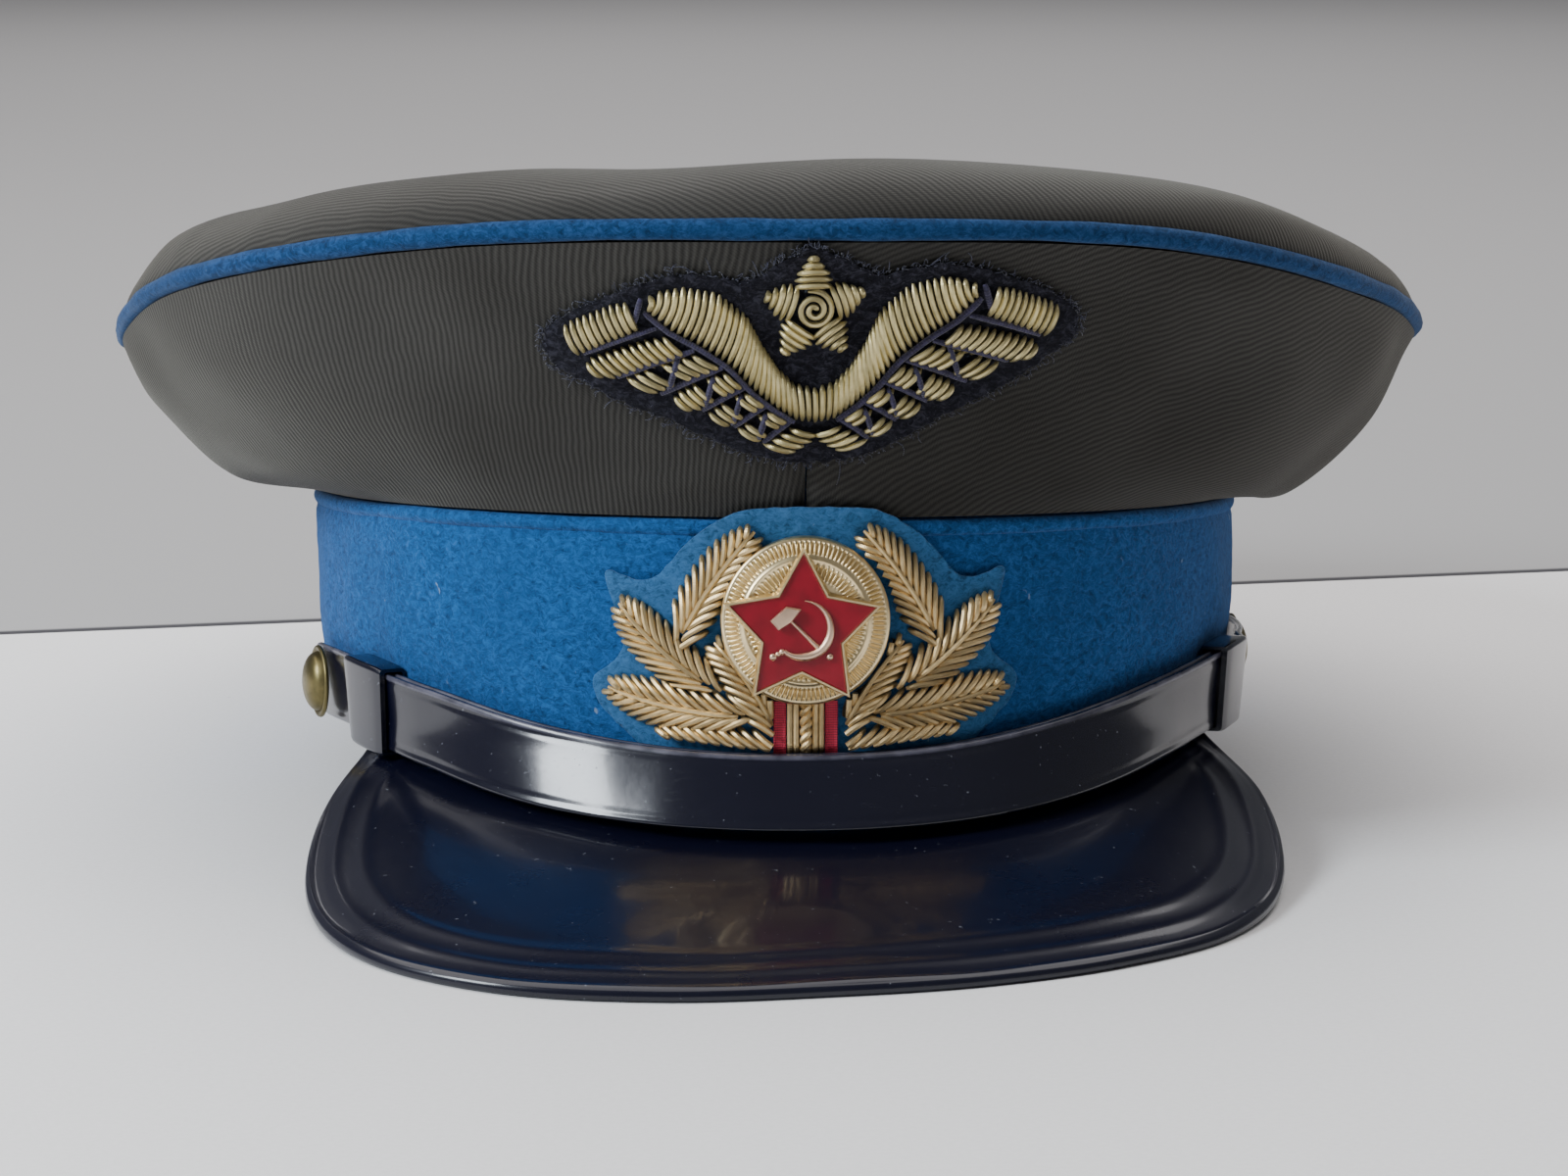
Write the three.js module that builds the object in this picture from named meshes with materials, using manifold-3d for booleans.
// A peaked service cap: cloth crown on a felt band, lacquered peak and chin strap, and embroidered badges.
// Millimetres, +Z up, peak towards -Y. The cap rests on its peak's edge and on the back of its band.
import * as THREE from "three";
import { TessellateModifier } from "three/addons/modifiers/TessellateModifier.js";
import { mergeVertices } from "three/addons/utils/BufferGeometryUtils.js";
import Module from "manifold-3d";

const wasm = await Module();
wasm.setup();
const { degToRad, lerp, smoothstep } = THREE.MathUtils;

// ---------------------------------------------------------------- driving dimensions

const CLEARANCE = 0.3; // between two pieces that touch on the real cap
const REST_TILT = 7; // degrees that the cap leans back when it stands on its peak
const BAND = { halfWidth: 88, halfLength: 104, height: 38, skew: 1, tuck: 2, frontDip: 11.5, wall: 3 };
const TUCK_HEIGHT = 20; // where the band starts to draw in above its lower edge
const CLOTH_WALL = 2; // wool with its stiff interlining
const WALL_FOOT = 0.4; // how far the crown wall's foot stands outside the band
const PIPING = { radius: 1.8, setIn: 0.4 }; // the felt cord in the crown's upper seam
const WELT = { radius: 1.5, setIn: 0.9 }; // the rolled upper edge of the band
const CROWN_TOP = { rise: 17, flatness: 6, roundness: 1.8, centreDrop: 4 };
const PEAK = { halfTurn: 60, wall: 1.8, crown: 1.5 };
const STRAP = { width: 13.6, wall: 1.2, firstOut: 1.6 };
const STRAP_ENDS = { innerFrom: -77, innerTo: 66.5, outerFrom: -60, outerTo: 98, dropFrom: 67, dropTo: 76 };
const KEEPER = { wall: 0.9, proud: 1.3, halfTurn: 3.7, leftTurn: -55.5, rightTurn: 61.8 };
const BUTTON = { radius: 6.7, rim: 0.8, dome: 2.8, leftTurn: -71, rightTurn: 93 };
const BADGE_LIFT = 0.48; // from the crown's faceted wall to the back of the winged star
const RING_STEPS = 56; // sections round the cap
const PANEL_STEPS = 12; // sections along one crown panel
const WALL_POINTS = 8; // steps up a crown panel

// The crown, one row for each direction round the cap. turn is measured from the front, plus
// towards +X. low is the wall's fold just above the band, high its fullest place and seam its piped
// top edge: out is measured outwards from the band's oval, and rise upwards from the band's top.
const CROWN = [
  { turn: -180, lowOut: 12, lowRise: 3, highOut: 26, highRise: 14, seamOut: 33, seamRise: 27 },
  { turn: -150, lowOut: 12, lowRise: 3, highOut: 27, highRise: 15, seamOut: 34, seamRise: 27 },
  { turn: -120, lowOut: 13, lowRise: 3, highOut: 28, highRise: 16, seamOut: 35, seamRise: 28 },
  { turn: -90, lowOut: 15, lowRise: 3.5, highOut: 30, highRise: 17, seamOut: 36, seamRise: 29.5 },
  { turn: -60, lowOut: 13, lowRise: 8, highOut: 27, highRise: 24, seamOut: 34, seamRise: 41.5 },
  { turn: -30, lowOut: 9, lowRise: 14, highOut: 19, highRise: 31, seamOut: 27, seamRise: 48.5 },
  { turn: 0, lowOut: 7, lowRise: 16, highOut: 14, highRise: 33, seamOut: 23, seamRise: 49.5 },
  { turn: 30, lowOut: 9, lowRise: 12, highOut: 18, highRise: 30, seamOut: 26, seamRise: 48.5 },
  { turn: 60, lowOut: 11, lowRise: 5, highOut: 24, highRise: 20, seamOut: 31, seamRise: 40 },
  { turn: 90, lowOut: 10, lowRise: 0, highOut: 26.5, highRise: 14, seamOut: 35.5, seamRise: 31 },
  { turn: 120, lowOut: 12, lowRise: 1, highOut: 27, highRise: 14, seamOut: 34, seamRise: 28 },
  { turn: 150, lowOut: 12, lowRise: 3, highOut: 27, highRise: 15, seamOut: 34, seamRise: 27 },
];

// The peak's outer edge: reach is how far it stands out from the band, and lift how far it is above
// the surface that the cap rests on.
const PEAK_EDGE = [
  { turn: -60, reach: 2, lift: 14 },
  { turn: -50, reach: 22, lift: 7 },
  { turn: -40, reach: 40.5, lift: 1 },
  { turn: -30, reach: 54, lift: 0 },
  { turn: -20, reach: 59, lift: 0 },
  { turn: -10, reach: 57, lift: 0 },
  { turn: 0, reach: 53, lift: 0 },
  { turn: 10, reach: 51.5, lift: 0 },
  { turn: 20, reach: 50, lift: 0 },
  { turn: 30, reach: 46.5, lift: 0 },
  { turn: 40, reach: 36.5, lift: 1.5 },
  { turn: 50, reach: 21, lift: 8 },
  { turn: 60, reach: 2, lift: 14 },
];

// The chin strap: height is its middle above the band's lower edge at the sides, and lean how much
// further its lower edge stands out than its upper edge.
const STRAP_LINE = [
  { turn: -78, height: 6, lean: 0 },
  { turn: -62, height: 5.5, lean: 0 },
  { turn: -45, height: 1.9, lean: 1.5 },
  { turn: -30, height: -2.4, lean: 4 },
  { turn: -15, height: -5, lean: 6 },
  { turn: 0, height: -5.8, lean: 6.5 },
  { turn: 15, height: -5, lean: 6 },
  { turn: 30, height: -2.2, lean: 4 },
  { turn: 45, height: 2, lean: 1.5 },
  { turn: 62, height: 5.5, lean: 0 },
  { turn: 100, height: 6.5, lean: 0 },
];

// The badges are drawn as seen from the front, x to the right and z upwards, and laid on the cloth.
// The winged star on the crown: its middle, its lean in degrees, and the depths of its layers.
const WINGS = { x: 0.6, z: 70, lean: 2, backing: 1, padding: 1.6 };
const MAX_EDGE = { backing: 7, padding: 5.5 }; // of the facets of what follows the cap's curve
const WING_STAR = { z: 4.6, radius: 8.7, waist: 0.43 };
const WINGS_BACKING = [
  { x: 0, z: 14.6 },
  { x: 6, z: 12.2 },
  { x: 11, z: 9.8 },
  { x: 21, z: 11.2 },
  { x: 29, z: 9.6 },
  { x: 38, z: 6.5 },
  { x: 43.5, z: 3 },
  { x: 43.5, z: -1.5 },
  { x: 38, z: -5.5 },
  { x: 31, z: -9.5 },
  { x: 22, z: -13.5 },
  { x: 12, z: -18.5 },
  { x: 4, z: -20.5 },
];
// The two shoulders are one curved band: stations from its middle outwards.
const SHOULDER = [
  { topX: 0, topZ: -8.5, lowX: 0, lowZ: -13.5 },
  { topX: 3.5, topZ: -7.5, lowX: 2.9, lowZ: -13.1 },
  { topX: 6.3, topZ: -4.6, lowX: 6, lowZ: -11.2 },
  { topX: 8.7, topZ: -0.8, lowX: 9.5, lowZ: -8.3 },
  { topX: 11.1, topZ: 4, lowX: 13.5, lowZ: -3.7 },
  { topX: 15.6, topZ: 7.7, lowX: 18.3, lowZ: -0.3 },
  { topX: 21, topZ: 8.8, lowX: 23, lowZ: 2.4 },
  { topX: 25.1, topZ: 8.3, lowX: 26.2, lowZ: 5.3 },
  { topX: 27.6, topZ: 7.2, lowX: 27.3, lowZ: 6.2 },
];
const FEATHERS = [
  { baseX: 28.9, baseZ: 4.7, tipX: 40.6, tipZ: 0.5, width: 4 },
  { baseX: 22.8, baseZ: -0.6, tipX: 35.9, tipZ: -3.6, width: 3.1 },
  { baseX: 17.8, baseZ: -3, tipX: 29.6, tipZ: -6.8, width: 3.2 },
  { baseX: 13.4, baseZ: -6.2, tipX: 21.4, tipZ: -9.6, width: 3 },
  { baseX: 10, baseZ: -9.6, tipX: 15.7, tipZ: -12.6, width: 2.9 },
  { baseX: 6.4, baseZ: -12.7, tipX: 11.2, tipZ: -15.6, width: 2.8 },
  { baseX: 1.7, baseZ: -15.2, tipX: 6.5, tipZ: -18.4, width: 3.1 },
];

// The wreath on the band, with its cockade: heights are above the band's lower edge at the sides.
const WREATH = { x: 0.4, z: 0, backing: 0.9, padding: 1.5, leafWidth: 5.6 };
const WREATH_BACKING = [
  { x: 0, z: 41.8 },
  { x: 11.8, z: 41.5 },
  { x: 19.2, z: 37 },
  { x: 26.6, z: 28.3 },
  { x: 34.5, z: 31.6 },
  { x: 32.8, z: 25.5 },
  { x: 30.4, z: 17 },
  { x: 36.6, z: 12.5 },
  { x: 35.2, z: 8 },
  { x: 30, z: 2.5 },
  { x: 24, z: -1.5 },
];
const LEAVES = [
  { baseX: 20.9, baseZ: 21, tipX: 8.7, tipZ: 38.2 },
  { baseX: 18.2, baseZ: 12.6, tipX: 32, tipZ: 25.9 },
  { baseX: 12.4, baseZ: 6.6, tipX: 34.2, tipZ: 11.4 },
  { baseX: 6.4, baseZ: 5.4, tipX: 16.2, tipZ: 19.4 },
  { baseX: 8.5, baseZ: 3, tipX: 25, tipZ: 4.6, width: 2 },
];
const DISC = { z: 22.8, radius: 14.2, edge: 1.2, height: 3 };
const RED_STAR = { x: 0, z: -1.3, radius: 13, waist: 0.4, height: 1.3 };
const RIBBON = { top: 8.2, bottom: 1.8, braidHalf: 3.1, stripFrom: 3.4, stripTo: 5.3, height: 0.9 };
const SICKLE = { radius: 5, from: 88, to: -135, thickness: 1.2, height: 0.8 };
const HAMMER = { x: -3.2, z: 1.4, length: 5, width: 2.5, lean: 29, handle: 8, handleWidth: 0.9 };

// ---------------------------------------------------------------- the cap's own coordinates

// A point beside the band's oval, `out` millimetres outside it, at height z. Towards its lower edge
// the band, and all that lies on it, is tucked in a little.
function capPoint(turn, out, z) {
  const nx = Math.sin(turn) / BAND.halfWidth;
  const ny = -Math.cos(turn) / BAND.halfLength;
  const reach = (out - BAND.tuck * (1 - smoothstep(z, 0, TUCK_HEIGHT))) / Math.hypot(nx, ny);
  return new THREE.Vector3(
    BAND.halfWidth * Math.sin(turn) + reach * nx,
    -BAND.halfLength * Math.cos(turn) + reach * ny,
    z,
  );
}

// The band's lower edge dips at the front, where the peak is sewn on.
function bandBottom(turn) {
  return -BAND.frontDip * Math.max(0, Math.cos(turn)) ** 2;
}

// Its upper edge stands a little higher on the left than on the right, as worn felt does.
function bandTop(turn) {
  return BAND.height - BAND.skew * Math.sin(turn);
}

// The height, in the cap's own frame, of the surface that the tilted cap rests on.
function restPlane(y) {
  return -(BAND.halfLength - y) * Math.tan(degToRad(REST_TILT));
}

// A smooth curve through four numbers, between the second and the third.
function blend(a, b, c, d, t) {
  return b + 0.5 * t * (c - a + t * (2 * a - 5 * b + 4 * c - d + t * (3 * (b - c) + d - a)));
}

// A table's row at any turn, blended smoothly. A table over the full circle runs on round it.
function rowAt(table, turn, closed) {
  const degrees = THREE.MathUtils.radToDeg(turn);
  let first;
  let t;
  if (closed) {
    const step = 360 / table.length;
    const place = THREE.MathUtils.euclideanModulo((degrees - table[0].turn) / step, table.length);
    first = Math.floor(place);
    t = place - first;
  } else {
    const inside = THREE.MathUtils.clamp(degrees, table[0].turn, table.at(-1).turn);
    first = Math.max(0, table.findLastIndex((row, k) => row.turn <= inside && k < table.length - 1));
    t = (inside - table[first].turn) / (table[first + 1].turn - table[first].turn);
  }
  const pick = (k) =>
    closed
      ? table[(first + k + table.length) % table.length]
      : table[THREE.MathUtils.clamp(first + k, 0, table.length - 1)];
  const row = {};
  for (const column of Object.keys(table[0]).filter((name) => name !== "turn")) {
    row[column] = blend(...[-1, 0, 1, 2].map((k) => pick(k)[column]), t);
  }
  return row;
}

// The crown wall's outer profile at a turn: points from the welt up to the piping.
function wallProfile(turn) {
  const row = rowAt(CROWN, turn, true);
  const start = new THREE.Vector2(WALL_FOOT, WELT.radius + CLEARANCE);
  const end = new THREE.Vector2(row.seamOut, row.seamRise - PIPING.radius - CLEARANCE);
  const knots = [
    start,
    new THREE.Vector2(row.lowOut, row.lowRise),
    new THREE.Vector2(row.highOut, row.highRise),
    end,
  ];
  const line = new THREE.SplineCurve(knots);
  return line.getPoints(3 * WALL_POINTS).filter((_, k) => k % 3 === 0);
}

// The same points pushed to the wall's inside by its thickness. The last one keeps its height, so
// that the wall ends level below the piping.
function inset(points, depth) {
  const last = points.length - 1;
  return points.map((p, k) => {
    if (k === last) return new THREE.Vector2(p.x - depth, p.y);
    const along = points[k + 1].clone().sub(points[Math.max(k - 1, 0)]).normalize();
    return new THREE.Vector2(p.x - along.y * depth, p.y + along.x * depth);
  });
}

// ---------------------------------------------------------------- making solids

function meshFrom(positions, index) {
  const geometry = new THREE.BufferGeometry();
  geometry.setAttribute("position", new THREE.Float32BufferAttribute(positions, 3));
  geometry.setIndex(index);
  return geometry;
}

// A solid from sections, each a closed ring of points with the same count. An open row of sections
// gets end faces, for which a section's first half runs out and its second half runs back.
function loft(sections, closed) {
  const count = sections[0].length;
  const index = [];
  const spans = closed ? sections.length : sections.length - 1;
  for (let i = 0; i < spans; i++) {
    const a = i * count;
    const b = ((i + 1) % sections.length) * count;
    for (let j = 0; j < count; j++) {
      const k = (j + 1) % count;
      index.push(a + j, b + j, b + k, a + j, b + k, a + k);
    }
  }
  if (!closed) {
    const ends = [
      { ring: 0, order: [0, 1, 2, 0, 2, 3] },
      { ring: sections.length - 1, order: [0, 2, 1, 0, 3, 2] },
    ];
    for (const { ring, order } of ends) {
      for (let j = 0; j < count / 2 - 1; j++) {
        const quad = [j, j + 1, count - 2 - j, count - 1 - j].map((k) => ring * count + k);
        index.push(...order.map((k) => quad[k]));
      }
    }
  }
  return meshFrom(sections.flat().flatMap((p) => p.toArray()), index);
}

// Sections at even turns, from one to another, each made by a function of its turn.
function sectionsBetween(from, to, steps, sectionAt) {
  return Array.from({ length: steps + 1 }, (_, i) => sectionAt(lerp(from, to, i / steps)));
}

function sectionsAround(steps, sectionAt) {
  return Array.from({ length: steps }, (_, i) => sectionAt((i / steps) * 2 * Math.PI));
}

// A round cord laid round the cap along a line given by a function of the turn.
function cordAround(radius, sides, lineAt) {
  return loft(
    sectionsAround(RING_STEPS, (turn) => {
      const { out, z } = lineAt(turn);
      return Array.from({ length: sides }, (_, k) => {
        const angle = (k / sides) * 2 * Math.PI;
        return capPoint(turn, out + radius * Math.cos(angle), z + radius * Math.sin(angle));
      });
    }),
    true,
  );
}

// The corners of a five-pointed star, with its inner corners at a share of its radius.
function starShape({ radius, waist }) {
  const corner = (k) => {
    const reach = k % 2 ? radius * waist : radius;
    const angle = Math.PI / 2 - (k * Math.PI) / 5;
    return new THREE.Vector2(reach * Math.cos(angle), reach * Math.sin(angle));
  };
  return new THREE.Shape(Array.from({ length: 10 }, (_, k) => corner(k)));
}

// A closed outline that is the same on both sides of x = 0, from its right half.
function mirrored(half) {
  const right = half.map(({ x, z }) => new THREE.Vector2(x, z));
  const left = half.filter(({ x }) => x > 0).map(({ x, z }) => new THREE.Vector2(-x, z));
  return new THREE.Shape([...right, ...left.reverse()]);
}

// A leaf or feather between its base and its tip.
const LEAF_SIDE = [
  { share: 0.06, reach: 0.6 },
  { share: 0.3, reach: 1 },
  { share: 0.7, reach: 0.95 },
  { share: 0.94, reach: 0.5 },
];
function leafShape({ baseX, baseZ, tipX, tipZ }, width) {
  const base = new THREE.Vector2(baseX, baseZ);
  const tip = new THREE.Vector2(tipX, tipZ);
  const along = tip.clone().sub(base);
  const across = new THREE.Vector2(-along.y, along.x).normalize();
  const side = ({ share, reach }, sign) =>
    base
      .clone()
      .addScaledVector(along, share)
      .addScaledVector(across, (sign * reach * width) / 2);
  const right = LEAF_SIDE.map((row) => side(row, -1));
  const left = LEAF_SIDE.map((row) => side(row, 1)).reverse();
  return new THREE.Shape([base, ...right, tip, ...left]);
}

function flip(row) {
  return { ...row, baseX: -row.baseX, tipX: -row.tipX };
}

function plate(shape, from, to) {
  const geometry = new THREE.ExtrudeGeometry(shape, { depth: to - from, bevelEnabled: false });
  return geometry.translate(0, 0, from);
}

// Lays a flat piece on the cap. Its x and y become the front view's, and its z the distance from the
// surface that outAt describes.
function drape(geometry, maxEdge, { x, z, lean = 0 }, outAt) {
  const plain = geometry.index ? geometry.toNonIndexed() : geometry.clone();
  plain.deleteAttribute("normal");
  plain.deleteAttribute("uv");
  plain.rotateZ(degToRad(lean)).translate(x, z, 0);
  const fine = new TessellateModifier(maxEdge, 8).modify(plain);
  const point = new THREE.Vector3();
  const position = fine.attributes.position;
  for (let i = 0; i < position.count; i++) {
    point.fromBufferAttribute(position, i);
    let [low, high] = [-Math.PI / 2, Math.PI / 2];
    for (let step = 0; step < 32; step++) {
      const middle = (low + high) / 2;
      const there = capPoint(middle, outAt(middle, point.y) + point.z, point.y);
      if (there.x < point.x) low = middle;
      else high = middle;
    }
    const { x: px, y: py, z: pz } = capPoint(low, outAt(low, point.y) + point.z, point.y);
    position.setXYZ(i, px, py, pz);
  }
  return mergeVertices(fine, 1e-3);
}

// How far the crown's wall stands out from the band's oval at a height.
function crownOut(turn, z) {
  const rise = z - bandTop(turn);
  const profile = wallProfile(turn);
  const above = Math.max(1, profile.findIndex((p, k) => k > 0 && p.y >= rise));
  const [a, b] = [profile[above - 1], profile[above]];
  return lerp(a.x, b.x, (rise - a.y) / (b.y - a.y)) + BADGE_LIFT;
}

// The wreath's backing lies on the band and swells over the welt and the foot of the crown.
function bandOut(turn, z) {
  const overWelt = 0.9 * smoothstep(z, 20, BAND.height - WELT.radius);
  return CLEARANCE + overWelt + 1.6 * smoothstep(z, BAND.height - 2, BAND.height + 5);
}

function toSolid(geometry) {
  const plain = geometry.index ? geometry.toNonIndexed() : geometry.clone();
  for (const name of Object.keys(plain.attributes)) {
    if (name !== "position") plain.deleteAttribute(name);
  }
  const merged = mergeVertices(plain, 1e-3);
  return new wasm.Manifold(
    new wasm.Mesh({
      numProp: 3,
      vertProperties: merged.attributes.position.array,
      triVerts: new Uint32Array(merged.index.array),
    }),
  );
}

function toGeometry(solid) {
  const mesh = solid.getMesh();
  return meshFrom(Array.from(mesh.vertProperties), Array.from(mesh.triVerts));
}

// ---------------------------------------------------------------- the pieces

const cap = new THREE.Group();
function add(name, geometry, material, parent = cap) {
  const mesh = new THREE.Mesh(geometry, material);
  mesh.name = name;
  parent.add(mesh);
  return mesh;
}

const wool = new THREE.MeshStandardMaterial({ color: 0x3b382f, roughness: 0.95 });
const felt = new THREE.MeshStandardMaterial({ color: 0x1a5fa0, roughness: 0.95 });
const lacquer = new THREE.MeshStandardMaterial({ color: 0x0b0c12, roughness: 0.12 });
const brass = new THREE.MeshStandardMaterial({ color: 0xc9a45c, roughness: 0.35, metalness: 1 });
const bullion = new THREE.MeshStandardMaterial({ color: 0xc8b27a, roughness: 0.4, metalness: 0.9 });
const navy = new THREE.MeshStandardMaterial({ color: 0x1c2230, roughness: 0.95 });
const enamel = new THREE.MeshStandardMaterial({ color: 0xa3112a, roughness: 0.25 });
const redRibbon = new THREE.MeshStandardMaterial({ color: 0xc02e4a, roughness: 0.85 });

// The band: an oval felt ring, cut back above for the welt.
add(
  "band",
  loft(
    sectionsAround(RING_STEPS, (turn) => {
      const top = bandTop(turn) - WELT.radius - CLEARANCE;
      const heights = [bandBottom(turn), 0.1, TUCK_HEIGHT * 0.4, TUCK_HEIGHT, top];
      const outside = heights.map((z) => capPoint(turn, 0, z));
      const inside = heights.map((z) => capPoint(turn, -BAND.wall, z));
      return [...outside, ...inside.reverse()];
    }),
    true,
  ),
  felt,
);
add("band_welt", cordAround(WELT.radius, 6, (turn) => ({ out: -WELT.setIn, z: bandTop(turn) })), felt);

// The crown: four wall panels, a top panel and the piping between them.
const seamGap = CLEARANCE / 2 / BAND.halfWidth;
const panels = [
  { name: "crown_wall_front_left", from: -90, to: 0 },
  { name: "crown_wall_front_right", from: 0, to: 90 },
  { name: "crown_wall_back_right", from: 90, to: 180 },
  { name: "crown_wall_back_left", from: 180, to: 270 },
];
for (const { name, from, to } of panels) {
  const sectionAt = (turn) => {
    const outer = wallProfile(turn);
    const inner = inset(outer, CLOTH_WALL).reverse();
    return [...outer, ...inner].map((p) => capPoint(turn, p.x, bandTop(turn) + p.y));
  };
  const [start, end] = [degToRad(from) + seamGap, degToRad(to) - seamGap];
  add(name, loft(sectionsBetween(start, end, PANEL_STEPS, sectionAt), false), wool);
}
const seamAt = (turn) => {
  const row = rowAt(CROWN, turn, true);
  return { out: row.seamOut - PIPING.setIn, z: bandTop(turn) + row.seamRise };
};
add("crown_piping", cordAround(PIPING.radius, 6, seamAt), felt);

// The top panel: from its rim, share 1, to its middle, share 0. `depth` is measured inwards.
function topPoint(turn, share, depth) {
  const seam = seamAt(turn);
  const rim = capPoint(turn, seam.out + PIPING.setIn - depth, seam.z + PIPING.radius + CLEARANCE);
  const front = seamAt(0).z;
  const back = seamAt(Math.PI).z;
  const middle = (front + back) / 2 - CROWN_TOP.centreDrop;
  const plane = middle + (rim.z - middle) * share ** 1.5;
  const { rise, flatness, roundness } = CROWN_TOP;
  const swell = (rise - depth) * (1 - share ** flatness) ** (1 / roundness);
  return new THREE.Vector3(rim.x * share, rim.y * share, plane + swell);
}
const TOP_SHARES = [1, 0.99, 0.96, 0.9, 0.78, 0.55, 0.28];
{
  const steps = 44;
  const positions = [];
  const index = [];
  for (const depth of [0, CLOTH_WALL]) {
    for (const share of TOP_SHARES) {
      for (let i = 0; i < steps; i++) {
        positions.push(...topPoint((i / steps) * 2 * Math.PI, share, depth).toArray());
      }
    }
    positions.push(...topPoint(0, 0, depth).toArray());
  }
  const layer = TOP_SHARES.length * steps + 1;
  const facing = (a, b, c, inner) => (inner ? index.push(a, c, b) : index.push(a, b, c));
  for (const inner of [false, true]) {
    const base = inner ? layer : 0;
    for (let i = 0; i < steps; i++) {
      const next = (i + 1) % steps;
      for (let s = 0; s < TOP_SHARES.length - 1; s++) {
        const [a, b] = [base + s * steps, base + (s + 1) * steps];
        facing(a + i, a + next, b + next, inner);
        facing(a + i, b + next, b + i, inner);
      }
      const last = base + (TOP_SHARES.length - 1) * steps;
      facing(last + i, last + next, base + layer - 1, inner);
    }
  }
  for (let i = 0; i < steps; i++) {
    const next = (i + 1) % steps;
    index.push(i, layer + i, layer + next, i, layer + next, next);
  }
  add("crown_top", meshFrom(positions, index), wool);
}

// The peak: a bent plate from under the band's front edge out to its rim.
{
  const share = [0, 0.15, 0.32, 0.5, 0.68, 0.85, 1];
  const limit = degToRad(PEAK.halfTurn);
  const sectionAt = (turn) => {
    const edge = rowAt(PEAK_EDGE, turn, false);
    const root = { out: 0, z: bandBottom(turn) - CLEARANCE };
    const outer = capPoint(turn, edge.reach, 0);
    const rimZ = restPlane(outer.y) + edge.lift + PEAK.wall;
    const top = share.map((s) => {
      const bulge = PEAK.crown * 4 * s * (1 - s) * smoothstep(edge.reach, 0, 20);
      return capPoint(turn, lerp(root.out, edge.reach, s), lerp(root.z, rimZ, s) + bulge);
    });
    const inner = capPoint(turn, -BAND.wall, root.z);
    const below = [inner, ...top].map((p) => p.clone().setZ(p.z - PEAK.wall)).reverse();
    return [inner, ...top, ...below].reverse();
  };
  add("peak", loft(sectionsBetween(-limit, limit, 32, sectionAt), false), lacquer);
}

// The chin strap is two lengths that lie on each other across the front. Each is buttoned at its own
// side and held by the other's keeper.
function strapSection(turn, out, wall, margin) {
  const { height, lean } = rowAt(STRAP_LINE, turn, false);
  const half = STRAP.width / 2 + margin;
  const rise = half * Math.sqrt(1 - (lean / STRAP.width) ** 2);
  const upper = { out: out - (lean * half) / STRAP.width + lean / 2, z: height + rise };
  const lower = { out: out + (lean * half) / STRAP.width + lean / 2, z: height - rise };
  return [
    capPoint(turn, lower.out, lower.z),
    capPoint(turn, lower.out + wall, lower.z),
    capPoint(turn, upper.out + wall, upper.z),
    capPoint(turn, upper.out, upper.z),
  ];
}
const secondOut = STRAP.firstOut + STRAP.wall + 2 * CLEARANCE;
const straps = [
  {
    name: "strap_inner",
    from: STRAP_ENDS.innerFrom,
    to: STRAP_ENDS.innerTo,
    out: () => STRAP.firstOut,
  },
  {
    name: "strap_outer",
    from: STRAP_ENDS.outerFrom,
    to: STRAP_ENDS.outerTo,
    out: (degrees) => {
      const drop = smoothstep(degrees, STRAP_ENDS.dropFrom, STRAP_ENDS.dropTo);
      return lerp(secondOut, STRAP.firstOut, drop);
    },
  },
];
for (const { name, from, to, out } of straps) {
  const sectionAt = (degrees) => {
    const section = strapSection(degToRad(degrees), out(degrees), STRAP.wall, 0);
    return [section[1], section[2], section[3], section[0]];
  };
  add(name, loft(sectionsBetween(from, to, 40, sectionAt), false), lacquer);
}

// The keepers: a flat loop round both straps, near where each one ends.
const keepers = [
  { name: "keeper_left", turn: KEEPER.leftTurn },
  { name: "keeper_right", turn: KEEPER.rightTurn },
];
for (const { name, turn } of keepers) {
  const outsideAt = secondOut + STRAP.wall + CLEARANCE + KEEPER.proud;
  const holeFrom = CLEARANCE + KEEPER.wall;
  const holeTo = outsideAt - KEEPER.proud;
  const block = (out, wall, margin, extra) => {
    const half = degToRad(KEEPER.halfTurn + extra);
    const sectionAt = (at) => {
      const section = strapSection(at, out, wall, margin);
      return [section[1], section[2], section[3], section[0]];
    };
    const middle = degToRad(turn);
    return toSolid(loft(sectionsBetween(middle - half, middle + half, 4, sectionAt), false));
  };
  const outside = block(CLEARANCE, outsideAt - CLEARANCE, CLEARANCE + KEEPER.wall, 0);
  const hole = block(holeFrom, holeTo - holeFrom, CLEARANCE, 1);
  add(name, toGeometry(outside.subtract(hole)), lacquer);
}

// The domed buttons, flat against the strap.
const buttons = [
  { name: "button_left", turn: BUTTON.leftTurn },
  { name: "button_right", turn: BUTTON.rightTurn },
];
for (const { name, turn } of buttons) {
  const { radius, rim, dome } = BUTTON;
  const arch = Array.from({ length: 6 }, (_, k) => {
    const angle = (k / 5) * (Math.PI / 2);
    return new THREE.Vector2(radius * Math.cos(angle), rim + dome * Math.sin(angle));
  });
  const profile = [new THREE.Vector2(0, 0), new THREE.Vector2(radius, 0), ...arch];
  profile.at(-1).x = 0;
  const button = add(name, new THREE.LatheGeometry(profile, 18), brass);
  const seat = STRAP.firstOut + STRAP.wall + CLEARANCE;
  const at = rowAt(STRAP_LINE, degToRad(turn), false).height;
  const base = capPoint(degToRad(turn), seat, at + radius).setZ(at);
  const outward = capPoint(degToRad(turn), seat + 1, at + radius).setZ(at).sub(base);
  button.position.copy(base);
  button.quaternion.setFromUnitVectors(new THREE.Vector3(0, 1, 0), outward);
}

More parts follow.
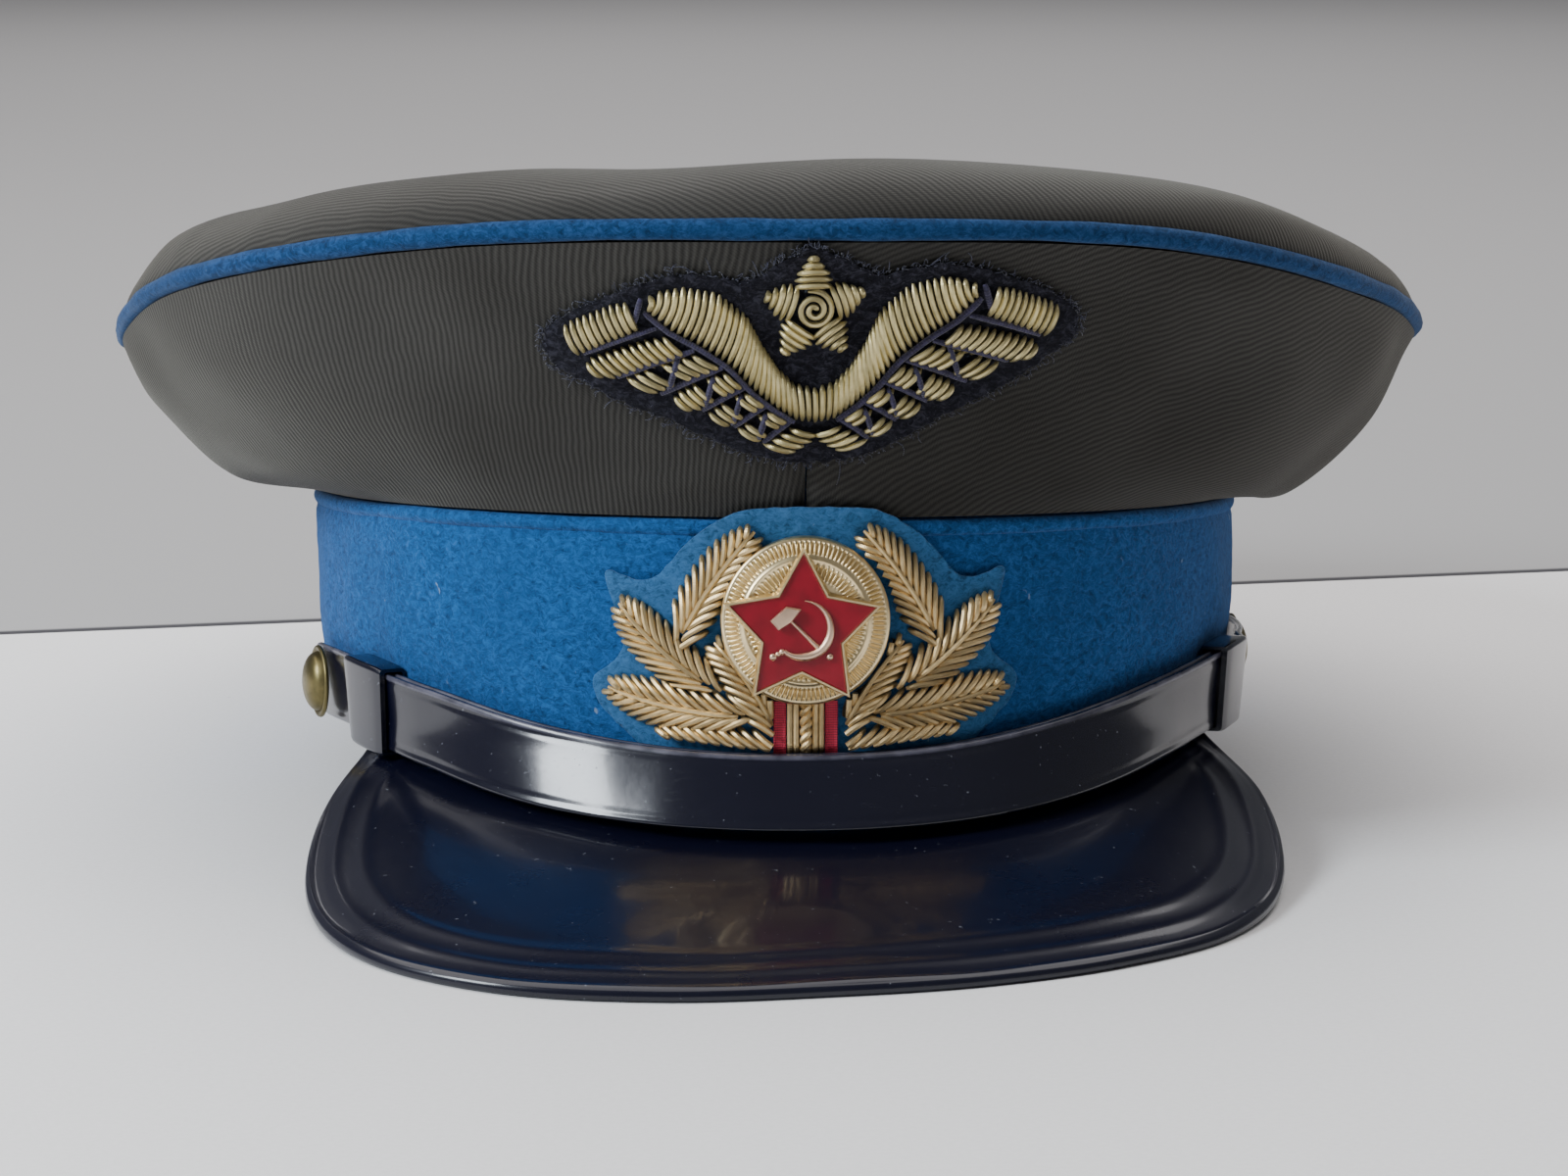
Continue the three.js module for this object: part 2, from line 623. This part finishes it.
// The winged star: a dark felt backing, and padded embroidery on it.
const onCrown = (geometry, maxEdge = MAX_EDGE.padding) => drape(geometry, maxEdge, WINGS, crownOut);
const padFrom = WINGS.backing + CLEARANCE;
const padTo = padFrom + WINGS.padding;
{
  const backing = plate(mirrored(WINGS_BACKING), 0, WINGS.backing);
  add("wings_backing", onCrown(backing, MAX_EDGE.backing), navy);
  const star = plate(starShape(WING_STAR), padFrom, padTo).translate(0, WING_STAR.z, 0);
  add("wings_star", onCrown(star), bullion);
}
{
  const top = SHOULDER.map((row) => ({ x: row.topX, z: row.topZ }));
  const low = SHOULDER.map((row) => ({ x: row.lowX, z: row.lowZ }));
  const half = [...top, ...low.reverse()];
  const left = half.filter(({ x }) => x > 0).map(({ x, z }) => ({ x: -x, z }));
  const outline = [...half, ...left.reverse()].map(({ x, z }) => new THREE.Vector2(x, z));
  add("wings_shoulders", onCrown(plate(new THREE.Shape(outline), padFrom, padTo)), bullion);
}
FEATHERS.forEach((row, k) => {
  for (const [side, feather] of [["right", row], ["left", flip(row)]]) {
    const shape = leafShape(feather, row.width);
    add(`wings_feather_${side}_${k + 1}`, onCrown(plate(shape, padFrom, padTo)), bullion);
  }
});

// The wreath: felt backing, ten leaves, a ribbon, and the cockade.
const onBand = (geometry, maxEdge = MAX_EDGE.padding) => drape(geometry, maxEdge, WREATH, bandOut);
const leafFrom = WREATH.backing + CLEARANCE;
const leafTo = leafFrom + WREATH.padding;
{
  const backing = plate(mirrored(WREATH_BACKING), 0, WREATH.backing);
  add("wreath_backing", onBand(backing, MAX_EDGE.backing), felt);
  const around = new THREE.CylinderGeometry(DISC.radius + CLEARANCE, DISC.radius + CLEARANCE, 20, 32);
  around.rotateX(Math.PI / 2).translate(0, DISC.z, 0);
  const discHole = toSolid(around);
  LEAVES.forEach((row, k) => {
    for (const [side, leaf] of [["right", row], ["left", flip(row)]]) {
      const whole = toSolid(plate(leafShape(leaf, row.width ?? WREATH.leafWidth), leafFrom, leafTo));
      add(`wreath_leaf_${side}_${k + 1}`, onBand(toGeometry(whole.subtract(discHole))), bullion);
    }
  });
}
function bar(fromX, toX, fromZ, toZ, height) {
  const shape = new THREE.Shape([
    new THREE.Vector2(fromX, fromZ),
    new THREE.Vector2(toX, fromZ),
    new THREE.Vector2(toX, toZ),
    new THREE.Vector2(fromX, toZ),
  ]);
  return plate(shape, leafFrom, leafFrom + height);
}
{
  const { top, bottom, braidHalf, stripFrom, stripTo, height } = RIBBON;
  add("ribbon_braid", onBand(bar(-braidHalf, braidHalf, bottom, top, height)), bullion);
  add("ribbon_right", onBand(bar(stripFrom, stripTo, bottom, top, height)), redRibbon);
  add("ribbon_left", onBand(bar(-stripTo, -stripFrom, bottom, top, height)), redRibbon);
}

// The cockade stands upright on the band's front: x to the right, y up and z forwards.
const cockade = new THREE.Group();
const seat = capPoint(0, bandOut(0, DISC.z + DISC.radius) + leafFrom, DISC.z);
cockade.position.set(WREATH.x, seat.y, seat.z);
cockade.rotation.x = Math.PI / 2;
cap.add(cockade);
{
  const { radius, edge, height } = DISC;
  const profile = [
    new THREE.Vector2(0, 0),
    new THREE.Vector2(radius, 0),
    new THREE.Vector2(radius, edge),
    new THREE.Vector2(radius * 0.92, height * 0.8),
    new THREE.Vector2(radius * 0.7, height),
    new THREE.Vector2(0, height),
  ];
  const disc = new THREE.LatheGeometry(profile, 36);
  add("cockade_disc", disc.rotateX(Math.PI / 2), brass, cockade);
}
const starFace = DISC.height + CLEARANCE;
const emblemFace = starFace + RED_STAR.height + CLEARANCE;
{
  const star = plate(starShape(RED_STAR), starFace, starFace + RED_STAR.height);
  add("cockade_star", star.translate(RED_STAR.x, RED_STAR.z, 0), enamel, cockade);
}
{
  const blade = new THREE.Shape();
  const { radius, from, to, thickness } = SICKLE;
  const steps = 14;
  const arc = (share, reach) => {
    const angle = degToRad(lerp(from, to, share));
    return new THREE.Vector2(reach * Math.cos(angle), reach * Math.sin(angle));
  };
  const width = (share) => lerp(0.3, thickness, Math.sin(Math.PI * Math.min(0.62, share)));
  const outer = Array.from({ length: steps + 1 }, (_, k) => arc(k / steps, radius));
  const inner = outer.map((_, k) => arc(k / steps, radius - width(k / steps)));
  blade.setFromPoints([...outer, ...inner.reverse()]);
  const grip = new THREE.BoxGeometry(3.2, 1.3, SICKLE.height);
  grip.rotateZ(degToRad(to + 90)).translate(...arc(1.02, radius - 0.2).toArray(), SICKLE.height / 2);
  const head = new THREE.BoxGeometry(HAMMER.length, HAMMER.width, SICKLE.height);
  head.rotateZ(degToRad(HAMMER.lean)).translate(HAMMER.x, HAMMER.z, SICKLE.height / 2);
  const handle = new THREE.BoxGeometry(HAMMER.handle, HAMMER.handleWidth, SICKLE.height);
  handle.translate(HAMMER.handle / 2, 0, 0).rotateZ(degToRad(HAMMER.lean - 78));
  handle.translate(HAMMER.x, HAMMER.z, SICKLE.height / 2);
  const pieces = [plate(blade, 0, SICKLE.height), grip, head, handle].map(toSolid);
  const joined = toGeometry(wasm.Manifold.union(pieces));
  joined.translate(RED_STAR.x, RED_STAR.z, emblemFace);
  add("cockade_hammer_and_sickle", joined, brass, cockade);
}

// ---------------------------------------------------------------- the cap at rest

cap.rotation.x = -degToRad(REST_TILT);
const box = new THREE.Box3().setFromObject(cap, true);
cap.position.set(-(box.min.x + box.max.x) / 2, -(box.min.y + box.max.y) / 2, -box.min.z);

const part = new THREE.Group();
part.add(cap);
export default part;
